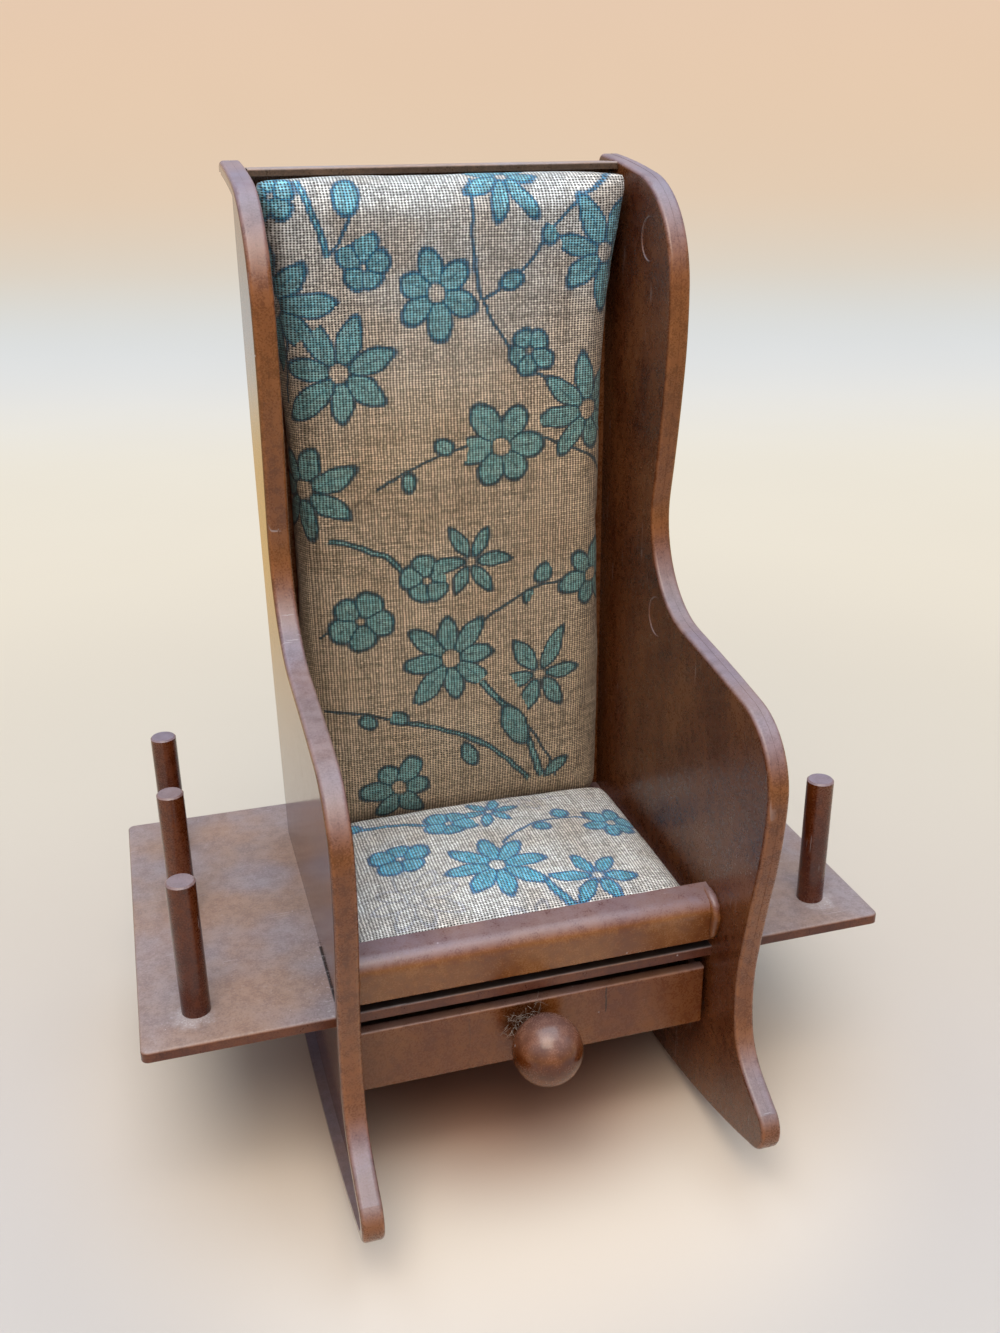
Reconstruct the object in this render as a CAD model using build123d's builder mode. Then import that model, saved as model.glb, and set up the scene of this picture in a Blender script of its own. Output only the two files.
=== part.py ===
from build123d import *
import math
import os

os.makedirs("parts", exist_ok=True)

# A wing-back rocking chair that is a sewing caddy. Millimetres, +Z up, the front faces -Y.
# The origin is on the floor, under the middle of the whole object.

# Levels: the spool plate carries the seat above it and the drawer below it
plate_top_z = 47.5
plate_thickness = 2.4
inner_half_width = 40.2
fit_gap = 0.1

# Side mouldings
web_thickness = 2.2
rim_depth = 2.4
rim_width = 2.4
seam_width = 0.2
seam_depth = 0.06
inner_edge_radius = 0.9
outer_edge_radius = 1.0
top_corner_radius = 2.0
toe_front_y = -68.5
toe_rear_y = 68.5
toe_radius = 5.8
toe_front_slope = 40.0
toe_rear_slope = 12.0
rocker_radius = 222.0
rocker_low_y = 8.0
mould_mark_radius = 4.5
mould_mark_depth = 0.15

# Front edge of a side, from the top down to the ankle: Y, and height above the plate's top
rear_top = (39.4, 161.4)
crest_slope = 5.0
front_edge = (
    (14.5, 157.8),
    (-4.1, 136.5),
    (-3.5, 118.5),
    (1.2, 91.5),
    (-17.1, 66.0),
    (-47.0, 61.8),
    (-60.4, 45.5),
    (-57.7, 25.5),
    (-53.3, 4.5),
    (-53.5, -12.5),
    (-59.5, -21.3),
)

# Rear edge of a side, from the rear leg's hollow up: the same two measures
rear_leg_hollow = (50.0, -19.7)
rear_leg_top = (37.3, -1.5)
rear_bulge = (43.5, 93.6)

# Round marks of the mould's ejector pins on the inner faces: the same two measures
mould_marks = ((7.7, 145.0), (-3.3, 64.3))

# Spool plate and pegs
plate_half_width = 82.0
plate_front_y = -40.1
plate_back_y = 53.8
plate_corner_radius = 1.6
plate_edge_radius = 0.6
peg_end_distance = 11.6
peg_radius = 3.0
peg_height = 31.0
peg_spigot_radius = 2.0
peg_spigot_fit = 0.05
peg_chamfer = 0.35
peg_rows = {"front": -29.0, "middle": 8.9, "back": 39.2}

# Seat pan with its rolled front rail
pan_gap = 2.3
pan_floor = 1.6
pan_rib_x = 28.0
pan_rib_width = 2.0
rail_back_y = -35.7
rail_front_y = -43.2
rail_toe_y = -41.2
rail_top_rise = 13.9
rail_front_drop = 0.9
rail_edge_radius = 3.4
rail_toe_radius = 0.9

# Back wall and top rail
back_panel_y = 33.0
back_panel_thickness = 2.0
back_groove_depth = 1.0
top_rail_front_y = 27.0
top_rail_back_y = 38.6
top_rail_drop = 3.1
top_rail_thickness = 1.5
top_rail_edge_radius = 0.5

# Cushions: a card board, a foam pad and a printed cover drawn round both
board_thickness = 1.5
cover_thickness = 0.5
cover_gap = 0.05
cushion_side_gap = 0.5
cushion_draw_in = 1.2
cushion_corner = 3.0
seat_cushion_front_y = -35.3
seat_cushion_back_y = 22.9
seat_cushion_depth = 10.4
back_cushion_depth = 13.9
back_cushion_lean = 2.6
cushion_clearance = 0.3

# Sections of a cushion from its base to its crown: share of the depth, and how far each is pulled in
cushion_profile = ((0.0, 0.5), (0.3, 0.0), (0.6, 0.6), (0.82, 2.0), (0.94, 4.4), (1.0, 9.0))

# Drawer, its knob and its runners
drawer_front_y = -39.4
drawer_front_thickness = 2.4
drawer_front_height = 14.8
drawer_side_gap = 1.0
drawer_top_gap = 3.6
drawer_wall = 1.5
drawer_depth = 65.0
tray_side_gap = 1.2
tray_rim_drop = 1.2
drawer_edge_radius = 0.5
runner_width = 3.0
runner_thickness = 1.6
runner_front_y = -34.0
runner_clearance = 0.1
stop_height = 3.0
stop_length = 1.6
knob_radius = 7.6
knob_reach = 7.3
knob_neck_radius = 3.2
screw_radius = 1.2
screw_fit = 0.05
screw_hole_clearance = 0.15
screw_grip = 7.5
screw_head_radius = 2.6
screw_head_height = 1.4
screw_slot_width = 0.7
screw_slot_depth = 0.6

# Worked out from the values above
plate_bottom_z = plate_top_z - plate_thickness
side_top_z = plate_top_z + rear_top[1]
web_outer_x = inner_half_width + web_thickness
peg_x = plate_half_width - peg_end_distance
pan_floor_z = plate_top_z + pan_gap
pan_top_z = pan_floor_z + pan_floor
pan_back_y = back_panel_y - fit_gap
top_rail_rise = rear_top[1] - top_rail_drop
top_rail_z = plate_top_z + top_rail_rise
drawer_top_z = plate_bottom_z - drawer_top_gap
drawer_bottom_z = drawer_top_z - drawer_front_height
runner_top_z = drawer_bottom_z + runner_clearance + runner_thickness
tray_bottom_z = runner_top_z + runner_clearance
tray_top_z = drawer_top_z - tray_rim_drop
tray_front_y = drawer_front_y + drawer_front_thickness
tray_back_y = tray_front_y + drawer_depth
tray_half_width = inner_half_width - tray_side_gap
knob_z = (drawer_top_z + drawer_bottom_z) / 2
knob_y = drawer_front_y - knob_reach
cushion_half_width = inner_half_width - cushion_side_gap


def above_plate(point):
    """A point given as Y and height above the plate's top, in (Y, Z)."""
    return point[0], plate_top_z + point[1]


def toe_centre(tip_y):
    """Centre of a toe circle that touches the rocker arc from inside, with its tip at tip_y."""
    centre_y = tip_y + math.copysign(toe_radius, -tip_y)
    drop = math.sqrt((rocker_radius - toe_radius) ** 2 - (centre_y - rocker_low_y) ** 2)
    return centre_y, rocker_radius - drop


def rocker_end(centre):
    """Point where the rocker arc runs into a toe circle."""
    share = rocker_radius / (rocker_radius - toe_radius)
    return (
        rocker_low_y + (centre[0] - rocker_low_y) * share,
        rocker_radius + (centre[1] - rocker_radius) * share,
    )


def side_outline():
    """Outline of a side in (Y, Z): wing, arm, leg, rocker, rear leg and rear edge."""
    front_toe = toe_centre(toe_front_y)
    rear_toe = toe_centre(toe_rear_y)
    front_turn = math.radians(90 + toe_front_slope)
    rear_turn = math.radians(90 - toe_rear_slope)
    front_foot = (
        front_toe[0] + toe_radius * math.cos(front_turn),
        front_toe[1] + toe_radius * math.sin(front_turn),
    )
    rear_foot = (
        rear_toe[0] + toe_radius * math.cos(rear_turn),
        rear_toe[1] + toe_radius * math.sin(rear_turn),
    )
    with BuildLine() as outline:
        start = above_plate(rear_top)
        slope = math.radians(crest_slope)
        edge = TangentArc(start, above_plate(front_edge[0]), tangent=(-math.cos(slope), -math.sin(slope)))
        for point in front_edge[1:]:
            edge = TangentArc(edge @ 1, above_plate(point), tangent=edge % 1)
        instep = TangentArc(edge @ 1, front_foot, tangent=edge % 1)
        toe = ThreePointArc(instep @ 1, (toe_front_y, front_toe[1]), rocker_end(front_toe))
        rocker = ThreePointArc(toe @ 1, (rocker_low_y, 0), rocker_end(rear_toe))
        heel = ThreePointArc(rocker @ 1, (toe_rear_y, rear_toe[1]), rear_foot)
        tail = TangentArc(
            heel @ 1,
            above_plate(rear_leg_hollow),
            tangent=(-math.sin(rear_turn), math.cos(rear_turn)),
        )
        rear_leg = TangentArc(tail @ 1, above_plate(rear_leg_top), tangent=tail % 1)
        ThreePointArc(rear_leg @ 1, above_plate(rear_bulge), start)
    return outline.line


def side_sheet(inset, mode=Mode.ADD):
    """Face of the side's outline in the sketch in use, drawn in by inset."""
    with BuildSketch(Plane.XY, mode=Mode.PRIVATE) as sheet:
        with BuildLine():
            add(side_outline())
        make_face()
        fillet(sheet.vertices().sort_by(Axis.Y)[-1], top_corner_radius)
        if inset > 0:
            offset(amount=-inset, kind=Kind.ARC)
    add(sheet.sketch, mode=mode)


def rear_strip(mode=Mode.ADD):
    """Rectangle along the rear edge, between the plate and the top, where the rim is left out."""
    strip_y = min(rear_leg_top[0], rear_top[0]) - rim_width
    with Locations((strip_y, plate_bottom_z)):
        Rectangle(
            rear_bulge[0] - strip_y + rim_width,
            side_top_z - rim_width - plate_bottom_z,
            align=(Align.MIN, Align.MIN),
            mode=mode,
        )


def make_side(name, side):
    """One side moulding; side is -1 for the left and 1 for the right."""
    with BuildPart() as part:
        with BuildSketch(Plane.YZ.offset(side * inner_half_width)):
            side_sheet(0)
        extrude(amount=side * (web_thickness + rim_depth))
        faces_by_x = part.faces().sort_by(Axis.X)
        inner_face = faces_by_x[-1] if side < 0 else faces_by_x[0]
        outer_face = faces_by_x[0] if side < 0 else faces_by_x[-1]
        fillet(inner_face.edges(), inner_edge_radius)
        fillet(outer_face.edges(), outer_edge_radius)
        # The outer face is let in behind a raised rim, which stops at the rear edge
        with BuildSketch(Plane.YZ.offset(side * web_outer_x)):
            side_sheet(rim_width)
            rear_strip()
        extrude(amount=side * rim_depth, mode=Mode.SUBTRACT)
        # The mould's parting seam shows as a fine groove round the edge, except along the rear
        with BuildSketch(Plane.YZ.offset(side * web_outer_x)):
            side_sheet(0)
            side_sheet(seam_depth, mode=Mode.SUBTRACT)
            rear_strip(mode=Mode.SUBTRACT)
        extrude(amount=side * seam_width, mode=Mode.SUBTRACT)
        # Drawer runner with the stop behind it
        with BuildSketch(Plane.YZ.offset(side * inner_half_width)):
            with Locations((runner_front_y, runner_top_z)):
                Rectangle(
                    tray_back_y + stop_length - runner_front_y,
                    runner_thickness,
                    align=(Align.MIN, Align.MAX),
                )
            with Locations((tray_back_y + runner_clearance, runner_top_z - runner_thickness)):
                Rectangle(
                    stop_length - runner_clearance,
                    runner_thickness + stop_height,
                    align=(Align.MIN, Align.MIN),
                )
        extrude(amount=-side * runner_width)
        # Slot for the spool plate, open at the rear
        with BuildSketch(Plane.YZ.offset(side * (inner_half_width - fit_gap))):
            with Locations((plate_front_y - fit_gap, plate_bottom_z - fit_gap)):
                Rectangle(
                    rear_bulge[0] - plate_front_y,
                    plate_thickness + 2 * fit_gap,
                    align=(Align.MIN, Align.MIN),
                )
        extrude(amount=side * (web_thickness + 2 * fit_gap), mode=Mode.SUBTRACT)
        # Groove for the back wall
        with BuildSketch(Plane.YZ.offset(side * inner_half_width)):
            with Locations((back_panel_y - fit_gap, plate_top_z)):
                Rectangle(
                    back_panel_thickness + 2 * fit_gap,
                    top_rail_rise,
                    align=(Align.MIN, Align.MIN),
                )
        extrude(amount=side * back_groove_depth, mode=Mode.SUBTRACT)
        # Round marks that the mould's ejector pins leave on the inner face
        with BuildSketch(Plane.YZ.offset(side * inner_half_width)):
            with Locations([above_plate(mark) for mark in mould_marks]):
                Circle(mould_mark_radius)
        extrude(amount=side * mould_mark_depth, mode=Mode.SUBTRACT)
    part.part.label = name
    export_step(part.part, f"parts/{name}.step")


make_side("left_side", -1)
make_side("right_side", 1)

# Spool plate: one sheet through both sides, with a hole for each peg
with BuildPart() as spool_plate:
    with BuildSketch(Plane.XY.offset(plate_bottom_z)):
        with Locations((0, plate_front_y)):
            Rectangle(
                2 * plate_half_width, plate_back_y - plate_front_y, align=(Align.CENTER, Align.MIN)
            )
    extrude(amount=plate_thickness)
    fillet(spool_plate.edges().filter_by(Axis.Z), plate_corner_radius)
    fillet(spool_plate.faces().sort_by(Axis.Z)[-1].edges(), plate_edge_radius)
    with BuildSketch(Plane.XY.offset(plate_bottom_z)):
        with Locations([(side * peg_x, y) for side in (-1, 1) for y in peg_rows.values()]):
            Circle(peg_spigot_radius + peg_spigot_fit)
    extrude(amount=plate_thickness, mode=Mode.SUBTRACT)
spool_plate.part.label = "spool_plate"
export_step(spool_plate.part, "parts/spool_plate.step")


def make_peg(name, x, y):
    """Spool peg: a round post with a spigot that fills its hole in the plate."""
    with BuildPart() as peg:
        with BuildSketch(Plane.XY.offset(plate_bottom_z)):
            with Locations((x, y)):
                Circle(peg_spigot_radius)
        extrude(amount=plate_thickness)
        with BuildSketch(Plane.XY.offset(plate_top_z)):
            with Locations((x, y)):
                Circle(peg_radius)
        extrude(amount=peg_height)
        chamfer(peg.faces().sort_by(Axis.Z)[-1].edges(), peg_chamfer)
    peg.part.label = name
    export_step(peg.part, f"parts/{name}.step")


for hand, side in (("left", -1), ("right", 1)):
    for row, row_y in peg_rows.items():
        make_peg(f"{hand}_{row}_peg", side * peg_x, row_y)

# Seat pan: rolled front rail, flat floor and two ribs that stand on the plate
with BuildPart() as seat_pan:
    with BuildSketch(Plane.YZ.offset(-inner_half_width + fit_gap)):
        with BuildLine():
            Polyline(
                (rail_back_y, pan_floor_z),
                (rail_toe_y, pan_floor_z),
                (rail_front_y, plate_top_z + rail_top_rise - rail_front_drop),
                (rail_back_y, plate_top_z + rail_top_rise),
                close=True,
            )
        rail_section = make_face()
        fillet(rail_section.vertices().group_by(Axis.X)[0], rail_edge_radius)
        with Locations((rail_back_y, pan_floor_z)):
            Rectangle(pan_back_y - rail_back_y, pan_floor, align=(Align.MIN, Align.MIN))
    extrude(amount=2 * (inner_half_width - fit_gap))
    toe_edges = seat_pan.edges().filter_by(Axis.X).group_by(Axis.Z)[0].sort_by(Axis.Y)
    fillet(toe_edges[0], rail_toe_radius)
    with BuildSketch(Plane.XY.offset(plate_top_z)):
        with Locations((-pan_rib_x, rail_back_y), (pan_rib_x, rail_back_y)):
            Rectangle(pan_rib_width, pan_back_y - rail_back_y, align=(Align.CENTER, Align.MIN))
    extrude(amount=pan_gap)
seat_pan.part.label = "seat_pan"
export_step(seat_pan.part, "parts/seat_pan.step")

# Back wall, held in the grooves of the sides
with BuildPart() as back_panel:
    with BuildSketch(Plane.XY.offset(plate_top_z)):
        with Locations((0, back_panel_y)):
            Rectangle(
                2 * (inner_half_width + back_groove_depth - fit_gap),
                back_panel_thickness,
                align=(Align.CENTER, Align.MIN),
            )
    extrude(amount=top_rail_rise)
back_panel.part.label = "back_panel"
export_step(back_panel.part, "parts/back_panel.step")

# Top rail: a strip that caps the back between the wings
with BuildPart() as top_rail:
    with BuildSketch(Plane.XY.offset(top_rail_z)):
        with Locations((0, top_rail_front_y)):
            Rectangle(
                2 * (inner_half_width - fit_gap),
                top_rail_back_y - top_rail_front_y,
                align=(Align.CENTER, Align.MIN),
            )
    extrude(amount=top_rail_thickness)
    rail_top_edges = top_rail.faces().sort_by(Axis.Z)[-1].edges().filter_by(Axis.X)
    fillet(rail_top_edges, top_rail_edge_radius)
top_rail.part.label = "top_rail"
export_step(top_rail.part, "parts/top_rail.step")


def cushion_section(half_length, inset, mode=Mode.ADD):
    """One section of a cushion in the sketch in use; arcs draw its sides in between the corners."""
    across = cushion_half_width - inset
    along = half_length - inset
    corner = cushion_corner + inset / 4
    turn = corner * (1 - math.sqrt(0.5))
    with BuildSketch(Plane.XY, mode=Mode.PRIVATE) as section:
        with BuildLine():
            right = ThreePointArc(
                (across, corner - along), (across - cushion_draw_in, 0), (across, along - corner)
            )
            far = ThreePointArc(
                (across - corner, along), (0, along - cushion_draw_in / 2), (corner - across, along)
            )
            left = ThreePointArc(
                (-across, along - corner), (cushion_draw_in - across, 0), (-across, corner - along)
            )
            near = ThreePointArc(
                (corner - across, -along), (0, cushion_draw_in / 2 - along), (across - corner, -along)
            )
            ThreePointArc(right @ 1, (across - turn, along - turn), far @ 0)
            ThreePointArc(far @ 1, (turn - across, along - turn), left @ 0)
            ThreePointArc(left @ 1, (turn - across, turn - along), near @ 0)
            ThreePointArc(near @ 1, (across - turn, turn - along), right @ 0)
        make_face()
    add(section.sketch, mode=mode)


def cushion_form(base_plane, half_length, depth, lean, inset):
    """Crowned body lofted through the cushion's sections, up from base_plane; its crown leans."""
    with BuildPart(mode=Mode.PRIVATE) as form:
        for share, pull in cushion_profile:
            with BuildSketch(base_plane.offset(share * (depth - inset)).rotated((share * lean, 0, 0))):
                cushion_section(half_length, inset + pull)
        loft()
    return form.part


def make_cushion(name, board_plane, half_length, depth, lean):
    """Board, foam and cover of one cushion; the board lies on board_plane, the crown above it."""
    form_plane = board_plane.offset(board_thickness)
    form_depth = depth - board_thickness
    foam_inset = cover_thickness + cover_gap
    base_pull = cushion_profile[0][1]
    outer = cushion_form(form_plane, half_length, form_depth, lean, 0)
    cavity = cushion_form(form_plane, half_length, form_depth, lean, cover_thickness)
    foam_body = cushion_form(form_plane, half_length, form_depth, lean, foam_inset)

    with BuildPart() as board:
        with BuildSketch(board_plane):
            cushion_section(half_length, base_pull + foam_inset)
        extrude(amount=board_thickness - cover_gap)
    board.part.label = f"{name}_board"
    export_step(board.part, f"parts/{name}_board.step")

    with BuildPart() as foam:
        add(foam_body)
    foam.part.label = f"{name}_foam"
    export_step(foam.part, f"parts/{name}_foam.step")

    # The cover is a skin over the foam that turns down over the board's edge
    with BuildPart() as cover:
        add(outer)
        add(cavity, mode=Mode.SUBTRACT)
        with BuildSketch(board_plane):
            cushion_section(half_length, base_pull)
            cushion_section(half_length, base_pull + cover_thickness, mode=Mode.SUBTRACT)
        extrude(amount=board_thickness)
    cover.part.label = f"{name}_cover"
    export_step(cover.part, f"parts/{name}_cover.step")


# Seat cushion: it lies on the pan, and its crown faces up
make_cushion(
    "seat",
    Plane(origin=(0, (seat_cushion_front_y + seat_cushion_back_y) / 2, pan_top_z)),
    (seat_cushion_back_y - seat_cushion_front_y) / 2,
    seat_cushion_depth,
    0,
)

# Back cushion: it stands against the back wall, and its crown faces forward
back_cushion_low = pan_top_z + cushion_clearance
back_cushion_high = top_rail_z - cushion_clearance
make_cushion(
    "back",
    Plane(
        origin=(0, back_panel_y - fit_gap, (back_cushion_low + back_cushion_high) / 2),
        x_dir=(1, 0, 0),
        z_dir=(0, -1, 0),
    ),
    (back_cushion_high - back_cushion_low) / 2,
    back_cushion_depth,
    back_cushion_lean,
)

# Drawer tray: an open box that slides on the runners
with BuildPart() as drawer_tray:
    with BuildSketch(Plane.XY.offset(tray_bottom_z)):
        with Locations((0, tray_front_y)):
            Rectangle(2 * tray_half_width, drawer_depth, align=(Align.CENTER, Align.MIN))
    extrude(amount=tray_top_z - tray_bottom_z)
    tray_top_face = drawer_tray.faces().sort_by(Axis.Z)[-1]
    offset(amount=-drawer_wall, openings=[tray_top_face])
    with BuildSketch(Plane.XZ.offset(-tray_front_y - drawer_wall)):
        with Locations((0, knob_z)):
            Circle(screw_radius + screw_hole_clearance)
    extrude(amount=drawer_wall, mode=Mode.SUBTRACT)
drawer_tray.part.label = "drawer_tray"
export_step(drawer_tray.part, "parts/drawer_tray.step")

# Drawer front
with BuildPart() as drawer_front:
    with BuildSketch(Plane.XZ.offset(-drawer_front_y)):
        with Locations((0, drawer_bottom_z)):
            Rectangle(
                2 * (inner_half_width - drawer_side_gap),
                drawer_front_height,
                align=(Align.CENTER, Align.MIN),
            )
    extrude(amount=-drawer_front_thickness)
    fillet(drawer_front.faces().sort_by(Axis.Y)[0].edges(), drawer_edge_radius)
    with BuildSketch(Plane.XZ.offset(-drawer_front_y)):
        with Locations((0, knob_z)):
            Circle(screw_radius + screw_hole_clearance)
    extrude(amount=-drawer_front_thickness, mode=Mode.SUBTRACT)
drawer_front.part.label = "drawer_front"
export_step(drawer_front.part, "parts/drawer_front.step")

# Ball knob on a short neck, flat where it meets the drawer front and bored for its screw
with BuildPart() as drawer_knob:
    with BuildSketch(Plane.YZ):
        with Locations((knob_y, knob_z)):
            Circle(knob_radius)
            Rectangle(knob_reach, knob_neck_radius, align=(Align.MIN, Align.MIN))
        with Locations((knob_y - knob_radius, knob_z)):
            Rectangle(
                2 * knob_radius, knob_radius, align=(Align.MIN, Align.MAX), mode=Mode.SUBTRACT
            )
        with Locations((drawer_front_y, knob_z)):
            Rectangle(knob_radius, knob_radius, align=(Align.MIN, Align.MIN), mode=Mode.SUBTRACT)
    revolve(axis=Axis((0, knob_y, knob_z), (0, 1, 0)))
    with BuildSketch(Plane.XZ.offset(-drawer_front_y)):
        with Locations((0, knob_z)):
            Circle(screw_radius + screw_fit)
    extrude(amount=screw_grip + screw_fit, mode=Mode.SUBTRACT)
drawer_knob.part.label = "drawer_knob"
export_step(drawer_knob.part, "parts/drawer_knob.step")

# Knob screw: it passes through the tray wall and the drawer front into the knob
with BuildPart() as knob_screw:
    with BuildSketch(Plane.XZ.offset(-tray_front_y - drawer_wall)):
        with Locations((0, knob_z)):
            Circle(screw_radius)
    extrude(amount=drawer_wall + drawer_front_thickness + screw_grip)
    with BuildSketch(Plane.XZ.offset(-tray_front_y - drawer_wall)):
        with Locations((0, knob_z)):
            Circle(screw_head_radius)
    extrude(amount=-screw_head_height)
    with BuildSketch(Plane.XZ.offset(-tray_front_y - drawer_wall - screw_head_height)):
        with Locations((0, knob_z)):
            Rectangle(2 * screw_head_radius, screw_slot_width)
    extrude(amount=screw_slot_depth, mode=Mode.SUBTRACT)
knob_screw.part.label = "knob_screw"
export_step(knob_screw.part, "parts/knob_screw.step")
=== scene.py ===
import math
import random

import bmesh
import bpy
from mathutils import Matrix, Vector, noise


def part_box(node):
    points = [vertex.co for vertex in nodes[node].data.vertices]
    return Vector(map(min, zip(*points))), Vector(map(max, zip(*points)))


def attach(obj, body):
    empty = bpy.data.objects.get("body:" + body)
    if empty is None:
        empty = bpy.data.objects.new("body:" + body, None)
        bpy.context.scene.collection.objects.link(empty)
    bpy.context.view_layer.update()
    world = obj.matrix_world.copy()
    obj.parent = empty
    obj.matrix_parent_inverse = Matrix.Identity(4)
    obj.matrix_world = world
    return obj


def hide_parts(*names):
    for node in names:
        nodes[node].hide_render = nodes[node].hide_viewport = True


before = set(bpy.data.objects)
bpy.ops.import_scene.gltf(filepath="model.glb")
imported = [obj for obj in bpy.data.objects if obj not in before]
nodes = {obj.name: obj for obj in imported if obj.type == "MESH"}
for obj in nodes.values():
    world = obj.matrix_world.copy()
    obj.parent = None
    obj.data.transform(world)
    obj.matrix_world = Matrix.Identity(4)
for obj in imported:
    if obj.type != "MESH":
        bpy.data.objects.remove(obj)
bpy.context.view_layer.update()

MM = 0.001
FOCAL_PIXELS = 1279.7
IMAGE_HEIGHT = 1333
SENSOR = 36.0
YAW, PITCH, ROLL = 0.281246, 0.397176, 0.012711
CAMERA_PLACE = (-0.069415, -0.254338, 0.213990)


def link(obj):
    """Puts a new object in the scene."""
    bpy.context.scene.collection.objects.link(obj)
    return obj


def smooth(obj):
    """Shades a mesh smoothly."""
    for polygon in obj.data.polygons:
        polygon.use_smooth = True


# Cushions. The face is drawn in a little between the corners, and the base is smaller than the face
DRAWN_IN = 0.014, 0.009
BASE_SHARE = 0.985, 0.992
CLOTH_FRAMES = 20
# Puckers of the stuffing: how many to the metre, and their height
PUCKERS = ((95, 0.00022), (230, 0.00010))
# Bounds that no cushion passes, a hair inside the walls round it
BACK_BOX = (-0.0399, 0.0140, 0.0517), (0.0399, 0.0327, 0.2056)
SEAT_BOX = (-0.0399, -0.0354, 0.0515), (0.0399, 0.0232, 0.0630)


def pillow(name, half_width, half_length, rows, columns, depth, edge_drop, place):
    """Closed crowned pad. depth(u, v) is its height over the base at u, v from -1 to 1."""
    mesh = bmesh.new()
    front, back = [], []
    for j in range(rows + 1):
        v = 2 * j / rows - 1
        front_row, back_row = [], []
        for i in range(columns + 1):
            u = 2 * i / columns - 1
            pull = 1 - DRAWN_IN[0] * (1 - v * v), 1 - DRAWN_IN[1] * (1 - u * u)
            x, z = u * half_width * pull[0], v * half_length * pull[1]
            rise = depth(u, v) - edge_drop(u, v)
            front_row.append(mesh.verts.new(place(x, z, rise)))
            back_row.append(mesh.verts.new(place(x * BASE_SHARE[0], z * BASE_SHARE[1], 0)))
        front.append(front_row)
        back.append(back_row)
    for j in range(rows):
        for i in range(columns):
            mesh.faces.new((front[j][i], front[j][i + 1], front[j + 1][i + 1], front[j + 1][i]))
            mesh.faces.new((back[j][i], back[j + 1][i], back[j + 1][i + 1], back[j][i + 1]))
    ring = [(0, i) for i in range(columns)] + [(j, columns) for j in range(rows)]
    ring += [(rows, i) for i in range(columns, 0, -1)] + [(j, 0) for j in range(rows, 0, -1)]
    for (j, i), (m, k) in zip(ring, ring[1:] + ring[:1]):
        mesh.faces.new((front[j][i], back[j][i], back[m][k], front[m][k]))
    bmesh.ops.recalc_face_normals(mesh, faces=mesh.faces)
    data = bpy.data.meshes.new(name)
    mesh.to_mesh(data)
    mesh.free()
    return link(bpy.data.objects.new(name, data))


def apply_modifiers(obj):
    """Replaces an object's mesh by what its modifiers make of it."""
    graph = bpy.context.evaluated_depsgraph_get()
    made = bpy.data.meshes.new_from_object(obj.evaluated_get(graph))
    obj.modifiers.clear()
    obj.data = made


def inflate(obj, voxel, pressure, cap, box):
    """Swells a pad with a short cloth simulation, moves no point by more than cap, and keeps to a box."""
    low, high = box
    remesh = obj.modifiers.new("remesh", "REMESH")
    remesh.mode = "VOXEL"
    remesh.voxel_size = voxel
    bpy.context.view_layer.update()
    apply_modifiers(obj)
    rest = [v.co.copy() for v in obj.data.vertices]
    cloth = obj.modifiers.new("cloth", "CLOTH")
    cloth.settings.quality = 4
    cloth.settings.mass = 0.2
    cloth.settings.tension_stiffness = 12
    cloth.settings.compression_stiffness = 12
    cloth.settings.bending_stiffness = 0.4
    cloth.settings.use_pressure = True
    cloth.settings.uniform_pressure_force = pressure
    cloth.settings.effector_weights.gravity = 0
    cloth.point_cache.frame_start = 1
    cloth.point_cache.frame_end = CLOTH_FRAMES
    for moment in range(1, CLOTH_FRAMES + 1):
        bpy.context.scene.frame_set(moment)
    apply_modifiers(obj)
    bpy.context.scene.frame_set(1)
    normals = [v.normal.copy() for v in obj.data.vertices]
    for vertex, start, normal in zip(obj.data.vertices, rest, normals):
        move = vertex.co - start
        if move.length > cap:
            move *= cap / move.length
        pucker = sum(noise.noise(start * scale) * height for scale, height in PUCKERS)
        point = start + move + normal * pucker
        vertex.co = [min(max(point[k], low[k]), high[k]) for k in range(3)]
    divide = obj.modifiers.new("divide", "SUBSURF")
    divide.levels = divide.render_levels = 1
    smooth(obj)


def mix(a, b, share):
    """Value at a share of the way from a to b."""
    return a + (b - a) * share


def edge_round(u, v, half_width, half_length, radius, fall):
    """How far a pad's face drops near its border, for a rounded shoulder."""
    nearest = []
    for share, half in ((u, half_width), (v, half_length)):
        inside = min((1 - abs(share)) * half / radius, 1)
        nearest.append(1 - math.sqrt(max(1 - (1 - inside) ** 2, 0)))
    return fall * min(nearest[0] + nearest[1], 1)


# Back cushion: X across, Z up, its face towards -Y. Thicker at the top corners, as the real one is
BACK_HALF_WIDTH = 0.0380
BACK_BOTTOM, BACK_TOP = 0.0522, 0.2052
BACK_PLANE_Y = 0.0326
BACK_HALF_LENGTH = (BACK_TOP - BACK_BOTTOM) / 2
BACK_MIDDLE_Z = (BACK_TOP + BACK_BOTTOM) / 2


def back_depth(u, v):
    """Height of the back cushion's face over its board."""
    height = (v + 1) / 2
    shoulder = mix(8.6, 12.0, min(height / 0.8, 1)) + 3.2 * max(height - 0.8, 0) / 0.2
    crown = mix(12.6, 14.6, height)
    bulge = (1 - u * u) * (1 - v ** 4)
    corner = 1.6 * (abs(u) ** 6) * max(v, 0) ** 6
    return (mix(shoulder, crown, bulge) + corner) * MM


def back_drop(u, v):
    """How far the back cushion's face drops near its border; squarer towards the top."""
    top = min(max((v - 0.5) / 0.4, 0), 1)
    radius, fall = mix(0.0046, 0.0024, top), mix(0.0062, 0.0028, top)
    return edge_round(u, v, BACK_HALF_WIDTH, BACK_HALF_LENGTH, radius, fall)


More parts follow.
